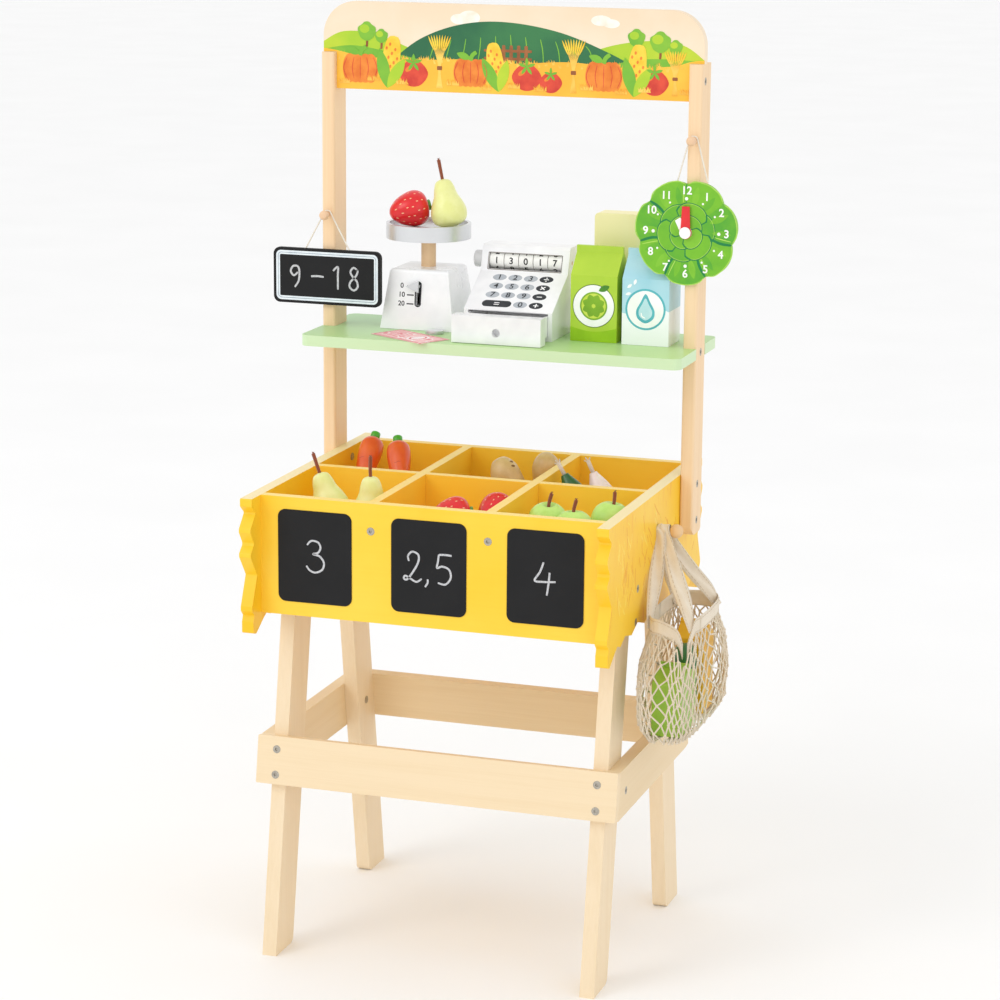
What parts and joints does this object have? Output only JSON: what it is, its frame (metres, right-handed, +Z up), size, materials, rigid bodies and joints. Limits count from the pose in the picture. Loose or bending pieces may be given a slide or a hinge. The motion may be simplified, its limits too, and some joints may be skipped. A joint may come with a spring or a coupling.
{
  "type": "toy market stall",
  "caption": "Toy market stall: splayed wooden stand with divided tray, shelf, header board, hanging sign and clock, scale, cash register, play food and a net bag.",
  "frame": {"origin": "on the floor, under the middle of the tray", "axes": "+X to the stall's right seen from the front, +Y to the back, +Z up"},
  "size_m": [0.58, 0.4, 1.075],
  "materials": {
    "apple_green": "painted pale green",
    "canvas": "woven cotton tape",
    "carrot": "painted orange",
    "carton_mix": "painted",
    "chalk_board": "matt black board paint",
    "cheese": "painted pale yellow",
    "clock_green": "printed green",
    "coin": "painted silver",
    "green_board": "painted pale green, satin",
    "hand_red": "matt",
    "hand_white": "matt",
    "header_board": "printed picture board, matt",
    "keypad": "white, printed keys",
    "lime": "painted lime, printed label",
    "milk": "painted light blue and white, printed label",
    "net": "knotted cotton",
    "note": "printed",
    "onion": "painted",
    "pale_wood": "planed pine, clear varnish",
    "pan_silver": "silver, satin",
    "pear": "painted pale yellow-green",
    "peg_wood": "turned beech",
    "pointer_grey": "painted light grey, satin",
    "potato": "painted beige",
    "red_fruit": "painted red, gloss",
    "register_white": "painted white, satin",
    "roller_white": "painted white",
    "scale_white": "painted white, gloss",
    "screw_steel": "zinc-plated",
    "spring_steel": "wire",
    "string": "twisted cotton",
    "warm_wood": "planed pine, clear varnish",
    "yellow_board": "painted yellow, satin"
  },
  "bodies": {
    "stand": {"back_left_leg": "pale_wood", "back_rail": "pale_wood", "back_right_leg": "pale_wood", "bag_peg": "peg_wood", "cross_dividers": "yellow_board", "frame_screws": "screw_steel", "front_left_leg": "pale_wood", "front_rail": "pale_wood", "front_right_leg": "pale_wood", "hanging_pegs": "peg_wood", "header_board": "header_board", "left_side_panel": "yellow_board", "left_side_rail": "pale_wood", "left_upright": "warm_wood", "lengthwise_divider": "yellow_board", "price_boards": "chalk_board", "right_side_panel": "yellow_board", "right_side_rail": "pale_wood", "right_upright": "warm_wood", "shelf": "green_board", "sleeve_nuts": "screw_steel", "tray_back_panel": "yellow_board", "tray_floor": "yellow_board", "tray_front_panel": "yellow_board"},
    "sign": {"sign_board": "chalk_board", "sign_string": "string"},
    "clock": {"clock_board": "clock_green", "clock_string": "string", "clock_pin": "hand_white"},
    "hour_hand": {"hour_hand": "hand_white"},
    "minute_hand": {"minute_hand": "hand_red"},
    "scale": {"scale_housing": "scale_white", "scale_base": "scale_white", "scale_spring": "spring_steel"},
    "weighing_pan": {"scale_post": "peg_wood", "scale_pan": "pan_silver", "scale_pointer": "pointer_grey"},
    "register": {"register_case": "register_white", "keypad_panel": "keypad"},
    "drawer": {"drawer_front": "register_white", "drawer_tray": "register_white"},
    "rollers": {"number_rollers": "roller_white", "roller_axle": "peg_wood", "roller_knob": "pointer_grey"},
    "juice": {"juice_carton": "lime"},
    "milk": {"milk_carton": "milk"},
    "cheese": {"cheese_block": "cheese"},
    "banknote": {"banknote": "note"},
    "coins": {"coins": "coin"},
    "carrots": {"carrots": "carrot"},
    "potatoes": {"potatoes": "potato"},
    "salad_onions": {"salad_onions": "onion"},
    "pears": {"pears": "pear"},
    "strawberries": {"strawberries": "red_fruit"},
    "apples": {"apples": "apple_green"},
    "scale_strawberry": {"scale_strawberry": "red_fruit"},
    "scale_pear": {"scale_pear": "pear"},
    "bag": {"bag_net": "net", "bag_canvas": "canvas", "bag_contents": "carton_mix"}
  },
  "joints": [
    {"name": "sign_swing", "type": "hinge", "parent": "stand", "child": "sign", "pos_m": [-0.222, 0.0915, 0.826], "axis": [0, 1, 0], "range_deg": [-14, 14]},
    {"name": "clock_swing", "type": "hinge", "parent": "stand", "child": "clock", "pos_m": [0.222, 0.0915, 0.9315], "axis": [0, 1, 0], "range_deg": [-11, 11]},
    {"name": "hour_hand_turn", "type": "hinge", "parent": "clock", "child": "hour_hand", "pos_m": [0.216, 0.088, 0.827], "axis": [0, 1, 0], "continuous": true},
    {"name": "minute_hand_turn", "type": "hinge", "parent": "clock", "child": "minute_hand", "pos_m": [0.216, 0.0865, 0.827], "axis": [0, 1, 0], "continuous": true},
    {"name": "scale_lift", "type": "slide", "parent": "stand", "child": "scale", "axis": [0, 0, 1], "range_m": [0, 0.03]},
    {"name": "scale_press", "type": "slide", "parent": "scale", "child": "weighing_pan", "axis": [0, 0, -1], "range_m": [0, 0.018], "stiffness_N_per_m": 250, "deforming": ["scale_spring"]},
    {"name": "scale_strawberry_lift", "type": "slide", "parent": "weighing_pan", "child": "scale_strawberry", "axis": [0, 0, 1], "range_m": [0, 0.04]},
    {"name": "scale_pear_lift", "type": "slide", "parent": "weighing_pan", "child": "scale_pear", "axis": [0, 0, 1], "range_m": [0, 0.04]},
    {"name": "register_lift", "type": "slide", "parent": "stand", "child": "register", "axis": [0, 0, 1], "range_m": [0, 0.04]},
    {"name": "drawer_slide", "type": "slide", "parent": "register", "child": "drawer", "axis": [0, -1, 0], "range_m": [-0.026, 0.05]},
    {"name": "roller_turn", "type": "hinge", "parent": "register", "child": "rollers", "pos_m": [-0.047, 0.15681, 0.77405], "axis": [1, 0, 0], "continuous": true},
    {"name": "juice_lift", "type": "slide", "parent": "stand", "child": "juice", "axis": [0, 0, 1], "range_m": [0, 0.04]},
    {"name": "milk_lift", "type": "slide", "parent": "stand", "child": "milk", "axis": [0, 0, 1], "range_m": [0, 0.04]},
    {"name": "cheese_lift", "type": "slide", "parent": "stand", "child": "cheese", "axis": [0, 0, 1], "range_m": [0, 0.04]},
    {"name": "banknote_lift", "type": "slide", "parent": "stand", "child": "banknote", "axis": [0, 0, 1], "range_m": [0, 0.03]},
    {"name": "coins_lift", "type": "slide", "parent": "stand", "child": "coins", "axis": [0, 0, 1], "range_m": [0, 0.03]},
    {"name": "carrots_lift", "type": "slide", "parent": "stand", "child": "carrots", "axis": [0, 0, 1], "range_m": [0, 0.06]},
    {"name": "potatoes_lift", "type": "slide", "parent": "stand", "child": "potatoes", "axis": [0, 0, 1], "range_m": [0, 0.06]},
    {"name": "salad_onions_lift", "type": "slide", "parent": "stand", "child": "salad_onions", "axis": [0, 0, 1], "range_m": [0, 0.06]},
    {"name": "pears_lift", "type": "slide", "parent": "stand", "child": "pears", "axis": [0, 0, 1], "range_m": [0, 0.06]},
    {"name": "strawberries_lift", "type": "slide", "parent": "stand", "child": "strawberries", "axis": [0, 0, 1], "range_m": [0, 0.06]},
    {"name": "apples_lift", "type": "slide", "parent": "stand", "child": "apples", "axis": [0, 0, 1], "range_m": [0, 0.06]},
    {"name": "bag_swing", "type": "hinge", "parent": "stand", "child": "bag", "pos_m": [0.225, 0, 0.5], "axis": [1, 0, 0], "range_deg": [-8, 8]}
  ]
}
